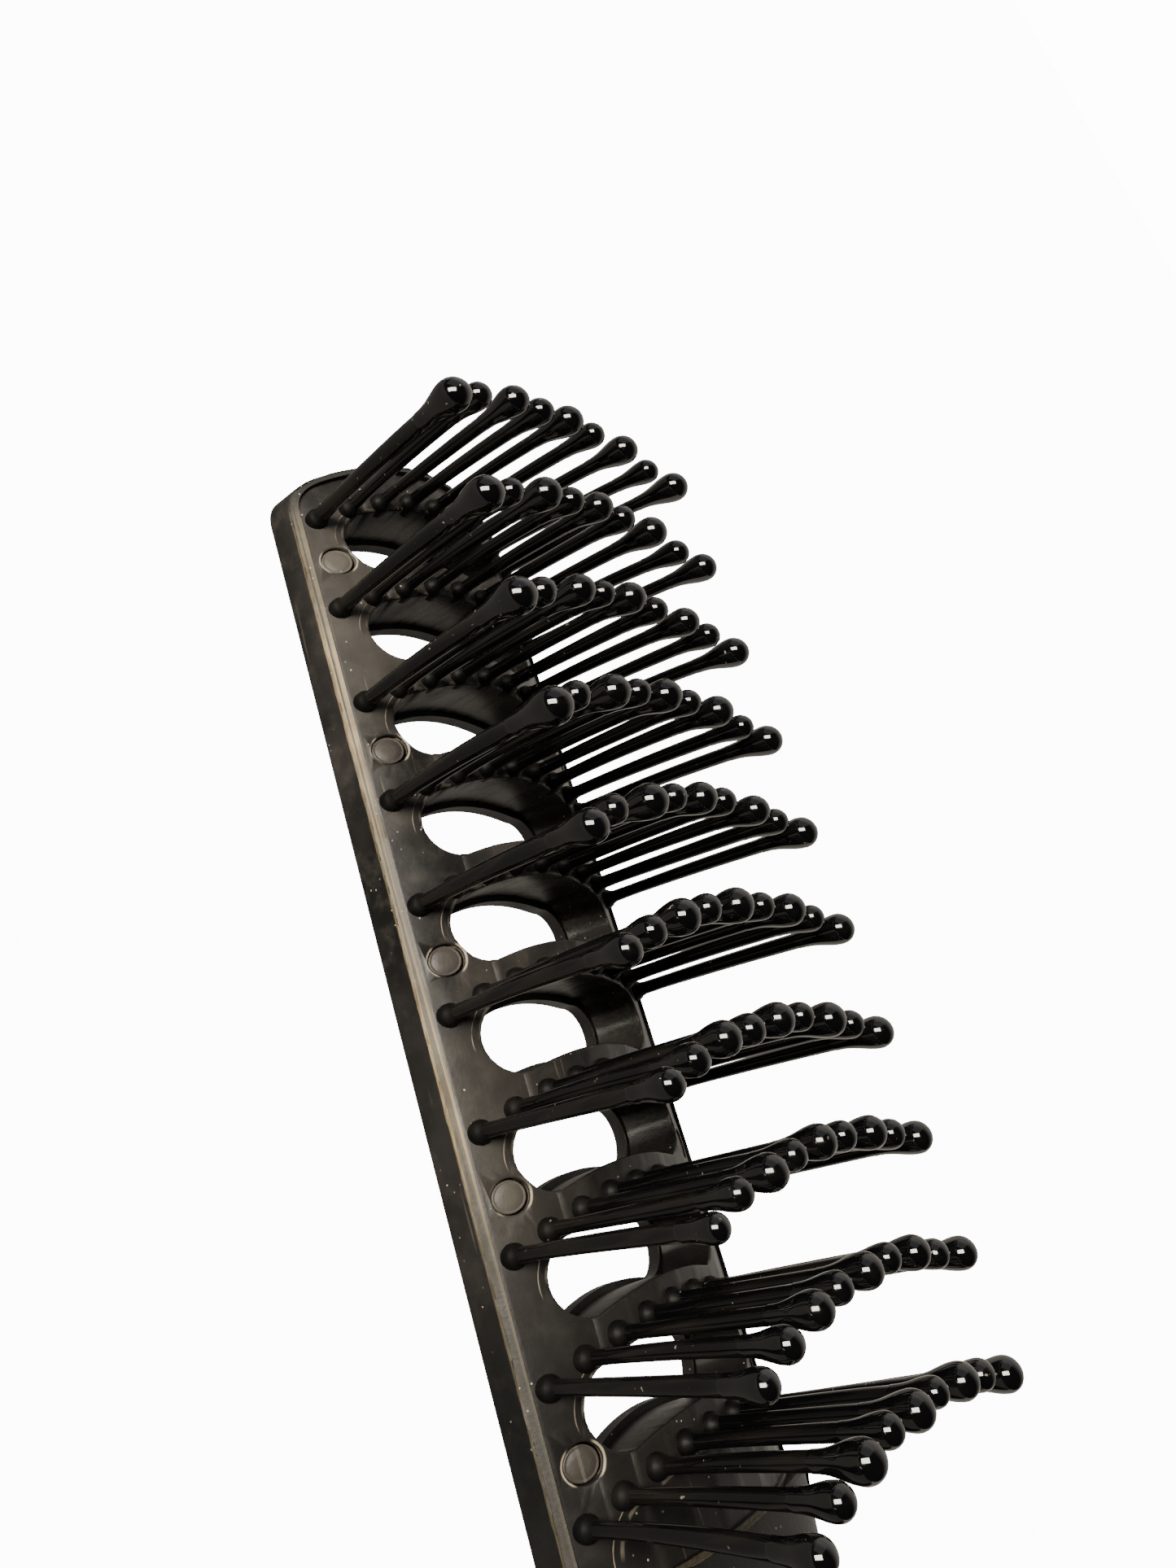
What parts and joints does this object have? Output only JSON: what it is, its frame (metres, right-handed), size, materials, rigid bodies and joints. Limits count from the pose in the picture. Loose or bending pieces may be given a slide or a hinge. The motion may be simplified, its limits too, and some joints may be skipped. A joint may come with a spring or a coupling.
{
  "type": "vented hair brush",
  "caption": "Narrow vented hair brush: arched head with bowed rows of bead-tipped bristles between through vents, on a straight waisted handle.",
  "frame": {"origin": "under the middle of the brush, on the plane that its flat back rests on", "axes": "+X across the head, +Y along the brush towards the tip of the head, +Z from the flat back along the bristles"},
  "size_m": [0.0366, 0.2228, 0.0282],
  "materials": {
    "body_plastic": "satin black moulded plastic with a warm cast",
    "head_plastic": "semi-gloss black moulded plastic, lightly scuffed",
    "bristle_nylon": "black nylon with glossy dipped bead tips",
    "pin_plastic": "black plastic, flush moulded face",
    "grip_rubber": "matte black soft grip"
  },
  "bodies": {
    "root": {"brush_body": "body_plastic", "vent_plate": "head_plastic", "bristle_row_01": "bristle_nylon", "bristle_row_02": "bristle_nylon", "bristle_row_03": "bristle_nylon", "bristle_row_04": "bristle_nylon", "bristle_row_05": "bristle_nylon", "bristle_row_06": "bristle_nylon", "bristle_row_07": "bristle_nylon", "bristle_row_08": "bristle_nylon", "bristle_row_09": "bristle_nylon", "bristle_row_10": "bristle_nylon", "plate_pin_left_1": "pin_plastic", "plate_pin_left_2": "pin_plastic", "plate_pin_left_3": "pin_plastic", "plate_pin_left_4": "pin_plastic", "plate_pin_left_5": "pin_plastic", "plate_pin_right_1": "pin_plastic", "plate_pin_right_2": "pin_plastic", "plate_pin_right_3": "pin_plastic", "plate_pin_right_4": "pin_plastic", "plate_pin_right_5": "pin_plastic", "handle_front_shell": "body_plastic", "grip_sleeve": "grip_rubber"}
  },
  "joints": []
}
